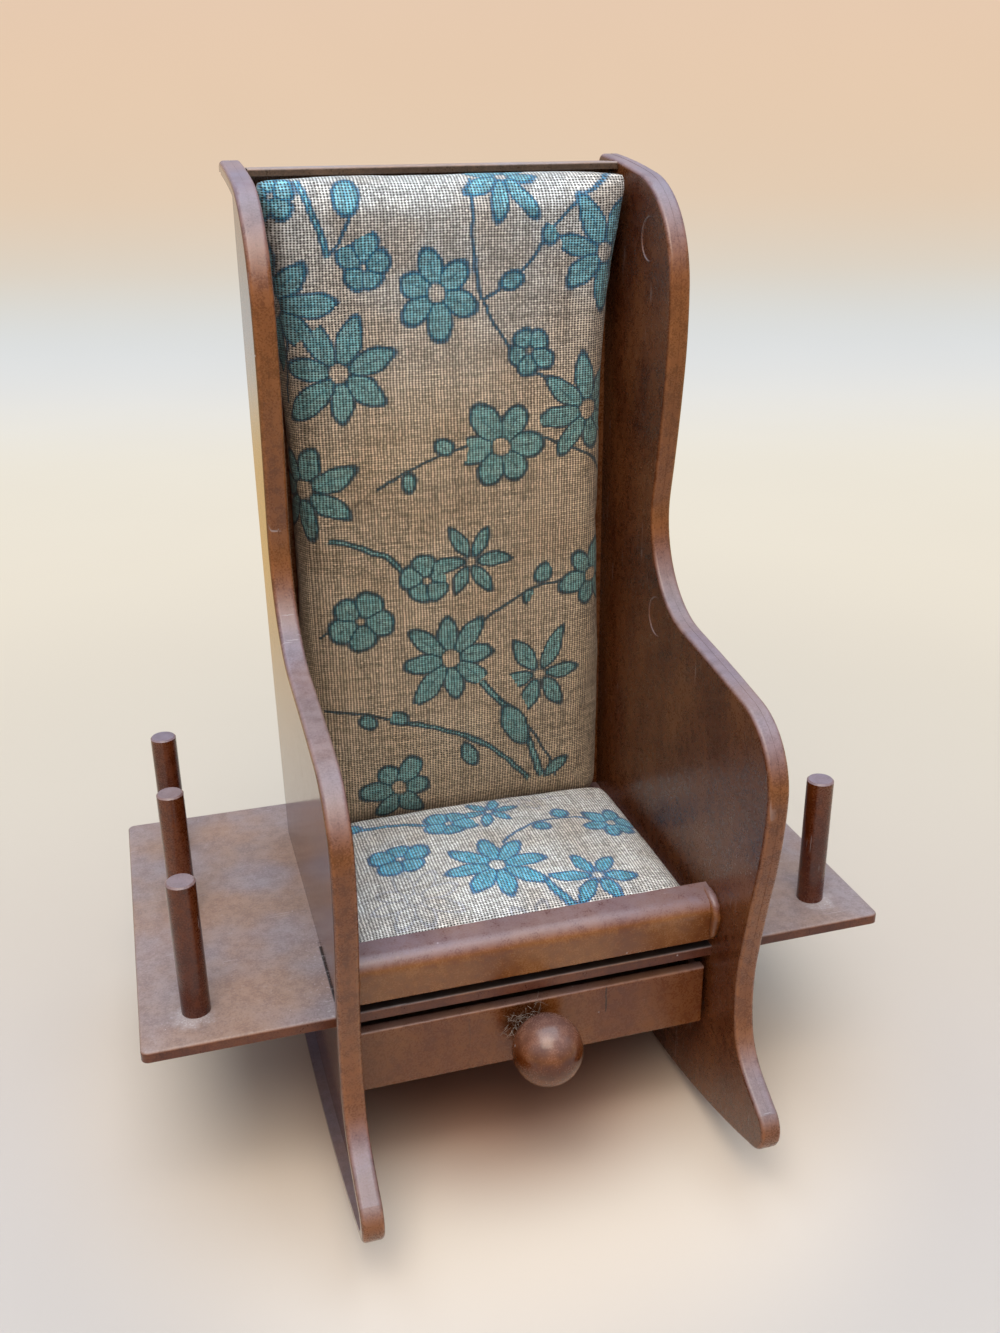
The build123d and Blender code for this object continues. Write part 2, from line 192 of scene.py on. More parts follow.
def back_place(x, z, rise):
    """A point of the back cushion, which is wider towards the top."""
    spread = 1 + 0.034 * min(max((z / BACK_HALF_LENGTH - 0.3) / 0.6, 0), 1)
    return x * spread, BACK_PLANE_Y - rise, BACK_MIDDLE_Z + z


back_cushion = pillow(
    "back_cushion", BACK_HALF_WIDTH, BACK_HALF_LENGTH, rows=96, columns=56,
    depth=back_depth, edge_drop=back_drop, place=back_place,
)
inflate(back_cushion, voxel=0.0016, pressure=4.0, cap=0.0013, box=BACK_BOX)
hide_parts("back_cover", "back_foam", "back_board")

# Seat cushion: X across, Y along, its face up
SEAT_HALF_WIDTH = 0.0384
SEAT_FRONT, SEAT_BACK = -0.0348, 0.0212
SEAT_BASE_Z = 0.0516
SEAT_HALF_LENGTH = (SEAT_BACK - SEAT_FRONT) / 2
SEAT_MIDDLE_Y = (SEAT_BACK + SEAT_FRONT) / 2


def seat_depth(u, v):
    """Height of the seat cushion's face over its board."""
    return mix(6.4, 9.4, (1 - u * u) * (1 - v * v)) * MM


def seat_drop(u, v):
    """How far the seat cushion's face drops near its border."""
    return edge_round(u, v, SEAT_HALF_WIDTH, SEAT_HALF_LENGTH, 0.0042, 0.0040)


seat_cushion = pillow(
    "seat_cushion", SEAT_HALF_WIDTH, SEAT_HALF_LENGTH, rows=40, columns=56,
    depth=seat_depth, edge_drop=seat_drop,
    place=lambda x, y, rise: (x, SEAT_MIDDLE_Y + y, SEAT_BASE_Z + rise),
)
inflate(seat_cushion, voxel=0.0016, pressure=4.0, cap=0.0012, box=SEAT_BOX)
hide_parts("seat_cover", "seat_foam", "seat_board")

for cushion in (back_cushion, seat_cushion):
    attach(cushion, "chair")


# Materials


def rgb(code):
    """Linear colour from a #rrggbb code."""
    parts = [int(code[k:k + 2], 16) / 255 for k in (1, 3, 5)]
    return [c / 12.92 if c <= 0.04045 else ((c + 0.055) / 1.055) ** 2.4 for c in parts] + [1.0]


class Graph:
    """Adds nodes to one node tree."""

    def __init__(self, tree):
        self.tree = tree

    def add(self, kind, inputs=None, **settings):
        """New node; inputs by index or name take a socket or a plain value."""
        node = self.tree.nodes.new(kind)
        for key, value in settings.items():
            setattr(node, key, value)
        for key, value in (inputs or {}).items():
            if isinstance(value, bpy.types.NodeSocket):
                self.tree.links.new(value, node.inputs[key])
            else:
                node.inputs[key].default_value = value
        return node

    def math(self, operation, *values):
        """One maths node."""
        return self.add("ShaderNodeMath", dict(enumerate(values)), operation=operation).outputs[0]

    def invert(self, value):
        """What a value lacks to 1."""
        return self.math("SUBTRACT", 1.0, value)

    def vector(self, operation, *values):
        """One vector maths node that gives a vector."""
        return self.add("ShaderNodeVectorMath", dict(enumerate(values)), operation=operation).outputs[0]

    def measure(self, operation, *vectors):
        """One vector maths node that gives a number."""
        return self.add("ShaderNodeVectorMath", dict(enumerate(vectors)), operation=operation).outputs[1]

    def ease(self, value, start, end):
        """Smooth step from 0 at start to 1 at end."""
        inputs = {0: value, 1: start, 2: end}
        return self.add("ShaderNodeMapRange", inputs, interpolation_type="SMOOTHSTEP").outputs[0]

    def blend(self, share, first, second):
        """Colour at a share of the way from first to second."""
        inputs = {0: share, 6: first, 7: second}
        return self.add("ShaderNodeMix", inputs, data_type="RGBA").outputs[2]

    def stretched(self, point, scale, turn=(0, 0, 0)):
        """A point turned, then stretched."""
        inputs = {0: point, 2: turn, 3: scale}
        return self.add("ShaderNodeMapping", inputs).outputs[0]

    def noise(self, point, scale, detail=2.0):
        """Soft noise, about 0 to 1."""
        inputs = {"Vector": point, "Scale": scale, "Detail": detail}
        return self.add("ShaderNodeTexNoise", inputs).outputs[0]

    def split(self, vector):
        """The three parts of a vector."""
        return self.add("ShaderNodeSeparateXYZ", {0: vector}).outputs

    def join(self, x, y, z=0.0):
        """A vector from three parts."""
        return self.add("ShaderNodeCombineXYZ", {0: x, 1: y, 2: z}).outputs[0]


def new_material(name):
    """Empty node material: its graph and its shader."""
    material = bpy.data.materials.new(name)
    material.use_nodes = True
    return material, Graph(material.node_tree), material.node_tree.nodes["Principled BSDF"]


def new_group(name, inputs, outputs):
    """Node group with the named sockets: the tree, its graph, its inputs and its output node."""
    tree = bpy.data.node_groups.new(name, "ShaderNodeTree")
    for socket in inputs:
        kind = "NodeSocketVector" if socket in ("Point", "Centre") else "NodeSocketFloat"
        tree.interface.new_socket(socket, in_out="INPUT", socket_type=kind)
    for socket in outputs:
        tree.interface.new_socket(socket, in_out="OUTPUT", socket_type="NodeSocketFloat")
    graph = Graph(tree)
    return tree, graph, graph.add("NodeGroupInput").outputs, graph.add("NodeGroupOutput")


# Print: flowers and stems as formulas of the cloth's own coordinates, in millimetres


def flower_group():
    """A flower of oval petals round a plain heart. One petal without a heart is a leaf or a bud."""
    tree, g, given, result = new_group(
        "flower",
        ["Point", "Centre", "Radius", "Turn", "Petals", "Width", "Bluntness", "Heart"],
        ["Fill", "Line", "Heart"],
    )
    x, y, _ = g.split(g.vector("SUBTRACT", given["Point"], given["Centre"]))
    distance = g.math("SQRT", g.math("ADD", g.math("MULTIPLY", x, x), g.math("MULTIPLY", y, y)))
    angle = g.math("ADD", g.math("ARCTAN2", y, x), given["Turn"])
    petal = g.math("MULTIPLY", angle, g.math("DIVIDE", given["Petals"], 2 * math.pi))
    number = g.math("FLOORED_MODULO", g.math("FLOOR", petal), given["Petals"])
    offset = g.math("ABSOLUTE", g.math("SUBTRACT", g.math("FRACT", petal), 0.5))
    off_angle = g.math("MULTIPLY", offset, g.math("DIVIDE", 2 * math.pi, given["Petals"]))
    half_angle = g.math("DIVIDE", math.pi, given["Petals"])
    seed = g.join(number, given["Radius"], given["Turn"])
    chance = g.add("ShaderNodeTexWhiteNoise", {"Vector": seed}).outputs[0]
    reach = g.math("MULTIPLY", given["Radius"], g.math("MULTIPLY_ADD", chance, 0.34, 0.76))
    root = g.math("MULTIPLY", given["Radius"], 0.13)
    along = g.math("MULTIPLY", distance, g.math("COSINE", off_angle))
    across = g.math("MULTIPLY", distance, g.math("SINE", off_angle))
    half = g.math("MULTIPLY", g.math("SUBTRACT", reach, root), 0.5)
    wide = g.math("MULTIPLY", given["Radius"], given["Width"])
    a = g.math("ABSOLUTE", g.math("DIVIDE", g.math("SUBTRACT", along, g.math("ADD", root, half)), half))
    power = given["Bluntness"]
    total = g.math("ADD", g.math("POWER", a, power), g.math("POWER", g.math("DIVIDE", across, wide), power))
    oval = g.math("POWER", total, g.math("DIVIDE", 1.0, power))
    size = g.math("MULTIPLY_ADD", half, 0.4, g.math("MULTIPLY", wide, 0.6))
    inside = g.math("MULTIPLY", g.invert(oval), size)
    heart_edge = g.math("SUBTRACT", g.math("MULTIPLY", given["Radius"], given["Heart"]), distance)
    heart = g.ease(heart_edge, -0.1, 0.25)
    fill = g.ease(inside, -0.1, 0.25)
    rim = g.invert(g.ease(g.math("ABSOLUTE", inside), 0.20, 0.66))
    parting = g.math("MULTIPLY", distance, g.math("SINE", g.math("SUBTRACT", half_angle, off_angle)))
    parting = g.invert(g.ease(g.math("ABSOLUTE", parting), 0.08, 0.42))
    parting = g.math("MULTIPLY", parting, g.math("GREATER_THAN", given["Petals"], 1.5))
    rib = g.invert(g.ease(across, 0.04, 0.30))
    rib = g.math("MULTIPLY", rib, g.invert(g.ease(a, 0.1, 0.7)))
    vein = g.math("SINE", g.math("MULTIPLY_ADD", across, 6.0, g.math("MULTIPLY", along, 1.3)))
    vein = g.math("MULTIPLY", g.ease(vein, 0.6, 1.0), g.ease(a, 0.3, 0.9))
    inner = g.math("MAXIMUM", g.math("MULTIPLY", rib, 0.6), g.math("MULTIPLY", vein, 0.35))
    inner = g.math("MULTIPLY", fill, g.math("MAXIMUM", inner, parting))
    line = g.math("MAXIMUM", rim, inner)
    outside_heart = g.invert(heart)
    ring = g.invert(g.ease(g.math("ABSOLUTE", heart_edge), 0.12, 0.5))
    ring = g.math("MULTIPLY", ring, g.math("GREATER_THAN", given["Heart"], 0.02))
    filled = g.math("MULTIPLY", fill, outside_heart)
    lined = g.math("MAXIMUM", g.math("MULTIPLY", line, outside_heart), g.math("MULTIPLY", ring, 0.8))
    for name, value in (("Fill", filled), ("Line", lined), ("Heart", heart)):
        g.tree.links.new(value, result.inputs[name])
    return tree


def stem_group():
    """A bowed stem, from the share of its run and the way off it. A wide one is filled."""
    tree, g, given, result = new_group("stem", ["Share", "Side", "Bow", "Width"], ["Fill", "Line"])
    share = given["Share"]
    bow = g.math("MULTIPLY", g.math("MULTIPLY", share, g.invert(share)), 4.0)
    off = g.math("ABSOLUTE", g.math("SUBTRACT", given["Side"], g.math("MULTIPLY", bow, given["Bow"])))
    ends = g.math("MULTIPLY", g.ease(share, -0.01, 0.02), g.invert(g.ease(share, 0.98, 1.01)))
    inside = g.math("SUBTRACT", given["Width"], off)
    fill = g.math("MULTIPLY", g.ease(inside, -0.05, 0.15), ends)
    rim = g.invert(g.ease(g.math("ABSOLUTE", inside), 0.12, 0.5))
    g.tree.links.new(fill, result.inputs["Fill"])
    g.tree.links.new(g.math("MULTIPLY", rim, ends), result.inputs["Line"])
    return tree


# A bud's reach for its radius: it grows from its centre, and one way only
BUD_REACH = 0.72


def draw_flowers(g, point, flowers, group):
    """Picks the flower that is nearest for its size, then draws that one."""
    nearest = 1000.0
    picked = [(0.0, 0.0, 0.0), (1.0, 0.0, 5.0), (0.3, 2.0, 0.2)]
    for x, y, radius, turn, petals, width, bluntness, heart in flowers:
        away = g.measure("DISTANCE", point, (x, y, 0))
        away = g.math("DIVIDE", away, radius * (BUD_REACH if petals == 1 else 1.0))
        nearer = g.math("LESS_THAN", away, nearest)
        nearest = g.math("MINIMUM", away, nearest)
        values = (x, y, 0.0), (radius, turn, petals), (width, bluntness, heart)
        for k in range(3):
            inputs = {0: nearer, 4: picked[k], 5: values[k]}
            picked[k] = g.add("ShaderNodeMix", inputs, data_type="VECTOR").outputs[1]
    radius, turn, petals = g.split(picked[1])
    width, bluntness, heart = g.split(picked[2])
    inputs = {
        "Point": point, "Centre": picked[0], "Radius": radius, "Turn": turn, "Petals": petals,
        "Width": width, "Bluntness": bluntness, "Heart": heart,
    }
    return add_group(g, group, inputs)


def draw_stems(g, point, stems, group):
    """Fill and line shares of all stems."""
    fill, line = 0.0, 0.0
    for start, end, bow, width in stems:
        start, end = Vector(start), Vector(end)
        length = (end - start).length
        unit = (end - start) / length
        parts = []
        for axis, scale in ((unit, 1 / length), (Vector((-unit.y, unit.x)), 1.0)):
            reached = g.measure("DOT_PRODUCT", point, (axis.x, axis.y, 0.0))
            parts.append(g.math("MULTIPLY_ADD", reached, scale, -start.dot(axis) * scale))
        made = add_group(g, group, {"Share": parts[0], "Side": parts[1], "Bow": bow, "Width": width})
        fill = g.math("MAXIMUM", fill, made["Fill"])
        line = g.math("MAXIMUM", line, made["Line"])
    return fill, line


def add_group(g, tree, inputs):
    """Puts a node group in a graph and gives its outputs."""
    return g.add("ShaderNodeGroup", inputs, node_tree=tree).outputs


# Threads of the cotton, in millimetres
WARP_PITCH = 0.69
WEFT_PITCH = 0.51


def cotton(name, flowers, stems, ghosts, groups, tones):
    """Coarse printed plain weave. The mesh's cloth attribute gives the place on the cloth, and as its third
    value the share of cool overhead light painted into the colour.
    """
    material, g, shader = new_material(name)
    cloth = g.add("ShaderNodeAttribute", attribute_name="cloth").outputs["Vector"]
    u, v, cool_light_share = g.split(cloth)
    flat = g.join(u, v)

    # Weave: threads that wander, with gaps at the crossings; the gaps and the threads' sides get painted
    # shade
    wander = g.math("MULTIPLY_ADD", g.noise(flat, 0.35, 1.0), 0.5, -0.25)
    warp = g.math("ADD", g.math("DIVIDE", u, WARP_PITCH), wander)
    weft = g.math("ADD", g.math("DIVIDE", v, WEFT_PITCH), wander)
    warp_number, weft_number = g.math("FLOOR", warp), g.math("FLOOR", weft)
    warp_off = g.math("ABSOLUTE", g.math("SUBTRACT", g.math("FRACT", warp), 0.5))
    weft_off = g.math("ABSOLUTE", g.math("SUBTRACT", g.math("FRACT", weft), 0.5))
    over = g.math("FLOORED_MODULO", g.math("ADD", warp_number, weft_number), 2.0)
    warp_height = g.math("COSINE", g.math("MULTIPLY", warp_off, 2.6))
    weft_height = g.math("COSINE", g.math("MULTIPLY", weft_off, 2.6))
    warp_above = g.math("MULTIPLY", warp_height, over)
    rounded = g.math("ADD", warp_above, g.math("MULTIPLY", weft_height, g.invert(over)))
    gap = g.math("MULTIPLY", g.ease(warp_off, 0.14, 0.30), g.ease(weft_off, 0.12, 0.28))
    thread_side_shade = g.math("MAXIMUM", g.ease(warp_off, 0.30, 0.5), g.ease(weft_off, 0.30, 0.5))
    height = g.math("SUBTRACT", rounded, g.math("MULTIPLY", gap, 0.8))
    warp_tone = g.add("ShaderNodeTexWhiteNoise", {"Vector": g.join(warp_number, 3.0)}).outputs[0]
    weft_tone = g.add("ShaderNodeTexWhiteNoise", {"Vector": g.join(weft_number, 9.0)}).outputs[0]
    slub = g.noise(g.stretched(flat, (0.15, 1.9, 1.0)), 1.0, 2.0)
    crossing = g.add("ShaderNodeTexWhiteNoise", {"Vector": g.join(warp_number, weft_number)}).outputs[0]
    thread_tone = g.math("MULTIPLY", g.math("ADD", warp_tone, weft_tone), 0.14)
    thread_tone = g.math("MULTIPLY_ADD", slub, 0.42, g.math("MULTIPLY_ADD", crossing, 0.30, thread_tone))

    # Print, drawn thread by thread with a slightly shaky hand
    shake = g.add("ShaderNodeTexNoise", {"Vector": flat, "Scale": 0.13}).outputs[1]
    shake = g.vector("MULTIPLY_ADD", shake, (2.4, 2.4, 0.0), (-1.2, -1.2, 0.0))
    cell_u = g.math("MULTIPLY", g.math("ADD", warp_number, 0.5), WARP_PITCH)
    cell = g.join(cell_u, g.math("MULTIPLY", g.math("ADD", weft_number, 0.5), WEFT_PITCH))
    inputs = {0: 0.55, 4: flat, 5: cell}
    point = g.vector("ADD", g.add("ShaderNodeMix", inputs, data_type="VECTOR").outputs[1], shake)
    bloom = draw_flowers(g, point, flowers, groups["flower"])
    shadowed = draw_flowers(g, point, ghosts, groups["flower"])
    stem_fill, stem_line = draw_stems(g, point, stems, groups["stem"])
    bare = g.invert(g.math("MAXIMUM", bloom["Fill"], bloom["Heart"]))
    filled = g.math("MAXIMUM", bloom["Fill"], g.math("MULTIPLY", stem_fill, bare))
    lined = g.math("MAXIMUM", bloom["Line"], g.math("MULTIPLY", stem_line, bare))

    # Ground colour, aged in clouds, with painted shade darkening the gaps and the threads' sides
    # Painted light: each tone blends from its warm-shaded copy to its cool-lit copy by the share of cool
    # overhead light
    ground = g.blend(cool_light_share, rgb(tones["ground"]), rgb(tones["cool_lit_ground"]))
    age = g.ease(g.noise(flat, 0.07, 3.0), 0.35, 0.7)
    ground = g.blend(g.math("MULTIPLY", age, 0.35), ground, rgb(tones["aged"]))
    ground = g.blend(g.math("MULTIPLY", shadowed["Line"], 0.30), ground, rgb(tones["ghost"]))
    ink_fill = g.blend(cool_light_share, rgb(tones["fill"]), rgb(tones["cool_lit_fill"]))
    ink_line = g.blend(cool_light_share, rgb(tones["line"]), rgb(tones["cool_lit_line"]))
    wash = g.math("MULTIPLY_ADD", g.noise(flat, 0.5, 2.0), 0.4, 0.66)
    colour = g.blend(g.math("MULTIPLY", filled, wash), ground, ink_fill)
    colour = g.blend(g.math("MULTIPLY", lined, 0.86), colour, ink_line)
    brightness = g.math("MULTIPLY_ADD", g.ease(thread_tone, 0.24, 0.72), 0.68, 0.60)
    colour = g.add("ShaderNodeVectorMath", {0: colour, 3: brightness}, operation="SCALE").outputs[0]
    # Painted shade: the threads' sides and the gaps between them darkened towards the gap tone
    colour = g.blend(g.math("MULTIPLY", thread_side_shade, 0.24), colour, rgb(tones["gap"]))
    colour = g.blend(g.math("MULTIPLY", gap, 0.96), colour, rgb(tones["gap"]))
    g.tree.links.new(colour, shader.inputs["Base Color"])
    shader.inputs["Roughness"].default_value = 0.92
    shader.inputs["Specular IOR Level"].default_value = 0.25
    shader.inputs["Sheen Weight"].default_value = 0.18
    shader.inputs["Sheen Roughness"].default_value = 0.5
    bump = g.add("ShaderNodeBump", {"Strength": 0.75, "Distance": 0.00016, "Height": height}).outputs[0]
    g.tree.links.new(bump, shader.inputs["Normal"])
    return material


# Places on the plastic, in metres. The mould's marks are given as Y and Z, the drawer's cracks as X and Z
peg_low, peg_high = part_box("right_front_peg")
knob_low, knob_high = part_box("drawer_knob")
PEG_X, PEG_Y = (peg_low[0] + peg_high[0]) / 2, (peg_low[1] + peg_high[1]) / 2
KNOB_Y, KNOB_Z = knob_high[1], (knob_low[2] + knob_high[2]) / 2
INNER_FACE_X, OUTER_FACE_X = 0.0405, 0.0415
MOULD_MARKS = ((0.0077, 0.1925), (-0.0033, 0.1118))
MOULD_MARK_RADIUS = 0.0045
CRACK_X, CRACK_Z = 0.0160, 0.0352
FAINT_CRACK_X, FAINT_CRACK_Z = -0.0150, 0.0365

GRIME_AND_SHADE, PIT, WEAR_AND_HIGHLIGHT, RUBBED_AND_LIT_TAN, HAZE, PALE = "#140a06", "#1c0b04", "#a8693c", "#b0703a", "#b08350", "#c9c6cc"


def brown_plastic(name, dark, light, dust_and_sheen_share, dust_and_sheen_tones, gloss, edge_axis, marks=None, front_tan=0.0):
    """Old glossy moulded plastic: clouded, tan on its edges with wear and painted highlight, with a pale
    dusty film and painted sky sheen where it faces up.

    dark and light are its tones, dust_and_sheen_share is the share of that film and sheen on faces that
    look up, gloss is the roughness, and edge_axis is the axis along which the rounded edges are seen to
    slant. marks adds a piece's own marks, which for some pieces include painted shade and painted
    highlight, and front_tan is how far faces that look to the front are painted lighter tan, as painted
    warm light and wear from rubbing.
    """
    material, g, shader = new_material(name)
    point = g.add("ShaderNodeTexCoord").outputs["Object"]
    normal = g.split(g.add("ShaderNodeNewGeometry").outputs["Normal"])
    cloud = g.noise(g.stretched(point, (1.0, 1.0, 0.5)), 75.0, 3.0)
    mottle = g.noise(point, 430.0, 5.0)
    grain = g.noise(point, 2600.0, 3.0)
    tone = g.math("MULTIPLY_ADD", cloud, 0.45, g.math("MULTIPLY", mottle, 0.30))
    tone = g.math("MULTIPLY_ADD", grain, 0.25, tone)
    fine = g.math("MULTIPLY_ADD", grain, 0.5, g.math("MULTIPLY", mottle, 0.5))
    colour = g.blend(g.ease(tone, 0.34, 0.66), rgb(dark), rgb(light))
    pits = g.ease(g.noise(point, 1700.0, 4.0), 0.60, 0.70)
    colour = g.blend(g.math("MULTIPLY", pits, 0.18), colour, rgb(PIT))

    # Tan on the fillets: wear, and painted highlight where the rounded edges catch the light
    slant = g.math("ABSOLUTE", normal[edge_axis])
    fillet = g.ease(slant, 0.12, 0.40)
    fillet = g.math("MULTIPLY", fillet, g.invert(g.ease(slant, 0.80, 0.97)))
    worn_and_highlight = g.math("MULTIPLY", fillet, g.math("MULTIPLY_ADD", g.ease(mottle, 0.35, 0.65), 0.16, 0.06))
    colour = g.blend(worn_and_highlight, colour, rgb(WEAR_AND_HIGHLIGHT))
    # Faces that look to the front painted lighter tan: painted warm light from the front, and wear from
    # rubbing
    ahead = g.math("MULTIPLY", g.ease(g.math("MULTIPLY", normal[1], -1.0), 0.45, 0.92), front_tan)
    ahead = g.math("MULTIPLY", ahead, g.math("MULTIPLY_ADD", g.ease(fine, 0.38, 0.60), 0.5, 0.5))
    colour = g.blend(ahead, colour, rgb(RUBBED_AND_LIT_TAN))

    # Dusty film and painted sky sheen on faces that look up, warm in places and bluish in others, and a
    # thin haze over all faces
    up = g.ease(normal[2], 0.10, 0.95)
    settled = g.math("MULTIPLY_ADD", g.ease(fine, 0.36, 0.62), 0.34, 0.66)
    dust_and_sheen = g.math("MULTIPLY", g.math("MULTIPLY", up, settled), dust_and_sheen_share)
    haze = g.ease(g.math("MULTIPLY_ADD", cloud, 0.5, g.math("MULTIPLY", grain, 0.5)), 0.46, 0.62)
    haze = g.math("MULTIPLY", haze, 0.07)
    colour = g.blend(haze, colour, rgb(HAZE))
    cool = g.ease(g.noise(point, 42.0, 3.0), 0.34, 0.68)
    colour = g.blend(dust_and_sheen, colour, g.blend(cool, rgb(dust_and_sheen_tones[0]), rgb(dust_and_sheen_tones[1])))

    # Fine scratches, and a few pale specks
    scratch_field = g.noise(g.stretched(point, (90.0, 2600.0, 70.0), (0.35, 0.0, 0.0)), 1.0, 1.0)
    patches = g.ease(g.noise(point, 70.0, 1.0), 0.52, 0.62)
    scratch = g.math("MULTIPLY", g.ease(scratch_field, 0.735, 0.765), patches)
    cells = g.add("ShaderNodeTexVoronoi", {"Vector": point, "Scale": 560.0})
    chosen = g.ease(g.split(cells.outputs["Color"])[0], 0.95, 1.0)
    speck = g.math("LESS_THAN", cells.outputs["Distance"], g.math("MULTIPLY", chosen, 0.13))
    speck = g.math("MULTIPLY", speck, 0.55)
    pale = g.math("MAXIMUM", g.math("MULTIPLY", scratch, 0.45), speck)
    # A piece's own marks: pale dust, dark grime and cracks, and on some pieces painted highlight and
    # painted shade
    if marks is not None:
        marks_pale, marks_dark = marks(g, point, normal)
        if marks_pale is not None:
            pale = g.math("MAXIMUM", pale, marks_pale)
        if marks_dark is not None:
            colour = g.blend(marks_dark, colour, rgb(GRIME_AND_SHADE))
    colour = g.blend(pale, colour, rgb(PALE))
    g.tree.links.new(colour, shader.inputs["Base Color"])

    # The gloss breaks up in fine grain, and dust dulls it
    rough = g.math("MULTIPLY_ADD", mottle, 0.30, gloss - 0.28)
    rough = g.math("MULTIPLY_ADD", grain, 0.34, rough)
    dull = g.math("MAXIMUM", g.math("MAXIMUM", dust_and_sheen, haze), pale)
    rough = g.math("MULTIPLY_ADD", dull, 0.30, rough)
    outside = g.math("GREATER_THAN", g.math("ABSOLUTE", g.split(point)[0]), OUTER_FACE_X)
    outside = g.math("MULTIPLY", outside, g.ease(g.math("ABSOLUTE", normal[0]), 0.8, 0.95))
    rough = g.math("MULTIPLY", rough, g.invert(g.math("MULTIPLY", outside, 0.66)))
    g.tree.links.new(g.math("MAXIMUM", rough, 0.07), shader.inputs["Roughness"])
    shader.inputs["IOR"].default_value = 1.54
    relief = g.math("MULTIPLY_ADD", grain, 0.35, g.math("MULTIPLY", mottle, 0.9))
    relief = g.math("SUBTRACT", relief, g.math("MULTIPLY", scratch, 0.8))
    bump = g.add("ShaderNodeBump", {"Strength": 0.30, "Distance": 0.00012, "Height": relief}).outputs[0]
    g.tree.links.new(bump, shader.inputs["Normal"])
    return material


def band(g, value, middle, half, soft):
    """1 within half of middle, fading over soft."""
    away = g.math("ABSOLUTE", g.math("SUBTRACT", value, middle))
    return g.invert(g.ease(away, half, half + soft))


def mould_mark_highlights(g, point, normal):
    """Thin pale half rings on the inner faces: painted highlight on the edges of the marks that the mould's
    ejector pins left.
    """
    x, y, z = g.split(point)
    inner = g.math("LESS_THAN", g.math("ABSOLUTE", x), INNER_FACE_X)
    inner = g.math("MULTIPLY", inner, g.ease(g.math("ABSOLUTE", normal[0]), 0.80, 0.95))
    pale = 0.0
    for mark_y, mark_z in MOULD_MARKS:
        away = g.join(g.math("SUBTRACT", y, mark_y), g.math("SUBTRACT", z, mark_z))
        distance = g.measure("LENGTH", away)
        ring = band(g, distance, MOULD_MARK_RADIUS, 0.00008, 0.00012)
        ring = g.math("MULTIPLY", ring, g.ease(y, mark_y - 0.001, mark_y + 0.002))
        pale = g.math("MAXIMUM", pale, ring)
    return g.math("MULTIPLY", g.math("MULTIPLY", pale, inner), 0.45), None


def tray_marks(g, point, normal):
    """Pale dust round the front pegs and along the sides, grime where the sides meet the tray, and painted
    shade on the tray's top between the sides, under the seat pan.
    """
    x, y, z = g.split(point)
    across = g.math("ABSOLUTE", x)
    away = g.join(g.math("SUBTRACT", across, PEG_X + 0.0008), g.math("SUBTRACT", y, PEG_Y - 0.0022))
    distance = g.measure("LENGTH", away)
    ragged = g.math("MULTIPLY_ADD", g.noise(point, 600.0, 4.0), 0.006, -0.003)
    near = g.invert(g.ease(g.math("ADD", distance, ragged), 0.0022, 0.0052))
    flecks = g.ease(g.noise(point, 2400.0, 2.0), 0.50, 0.68)
    dusty = g.math("MULTIPLY", near, g.math("MULTIPLY_ADD", flecks, 0.5, 0.28))
    wall = g.invert(g.ease(across, 0.0425, 0.0500))
    wall = g.math("MULTIPLY", wall, g.math("GREATER_THAN", across, 0.0420))
    front = g.invert(g.ease(y, -0.030, 0.0))
    litter = g.ease(g.noise(point, 1500.0, 3.0), 0.58, 0.70)
    litter = g.math("MULTIPLY", litter, g.math("MULTIPLY_ADD", g.math("MULTIPLY", wall, front), 0.40, 0.10))
    pale = g.math("MULTIPLY", g.math("MAXIMUM", dusty, litter), g.ease(normal[2], 0.8, 0.95))
    pale = g.math("MULTIPLY", pale, g.math("GREATER_THAN", across, 0.0410))
    grime = g.invert(g.ease(across, 0.0426, 0.0429))
    grime = g.math("MULTIPLY", grime, g.math("GREATER_THAN", across, 0.0420))
    grime = g.math("MULTIPLY", grime, g.math("LESS_THAN", g.math("ADD", y, ragged), -0.014))
    # Painted shade: the tray's top between the sides, under the seat pan, darkened almost to the grime tone
    inside = g.invert(g.ease(across, 0.0400, 0.0404))
    inside = g.math("MULTIPLY", inside, g.ease(normal[2], 0.5, 0.9))
    inside = g.math("MULTIPLY", inside, g.ease(y, 0.030, 0.026))
    return pale, g.math("MAXIMUM", grime, g.math("MULTIPLY", inside, 0.9))


def drawer_marks(g, point, normal):
    """Two hairline cracks in the drawer front, and painted shade on the face just above and left of the
    knob.
    """
    x, y, z = g.split(point)
    shaky = g.math("MULTIPLY_ADD", g.noise(point, 320.0, 2.0), 0.0008, -0.0004)
    line_x = g.math("ADD", x, shaky)
    face = g.ease(normal[1], -0.80, -0.95)
    crack = band(g, line_x, CRACK_X, 0.00011, 0.00012)
    crack = g.math("MULTIPLY", crack, g.ease(z, CRACK_Z - 0.0008, CRACK_Z))
    faint = band(g, line_x, FAINT_CRACK_X, 0.00009, 0.00012)
    faint = g.math("MULTIPLY", faint, band(g, z, FAINT_CRACK_Z, 0.0030, 0.0010))
    away = g.join(g.math("ADD", x, 0.0030), g.math("SUBTRACT", z, KNOB_Z + 0.0036))
    distance = g.measure("LENGTH", away)
    uneven = g.math("ADD", distance, g.math("MULTIPLY", shaky, 4.0))
    knob_shade = g.invert(g.ease(uneven, 0.0028, 0.0068))
    lines = g.math("MAXIMUM", g.math("MULTIPLY", crack, 0.8), g.math("MULTIPLY", faint, 0.35))
    return None, g.math("MULTIPLY", g.math("MAXIMUM", lines, g.math("MULTIPLY", knob_shade, 0.6)), face)


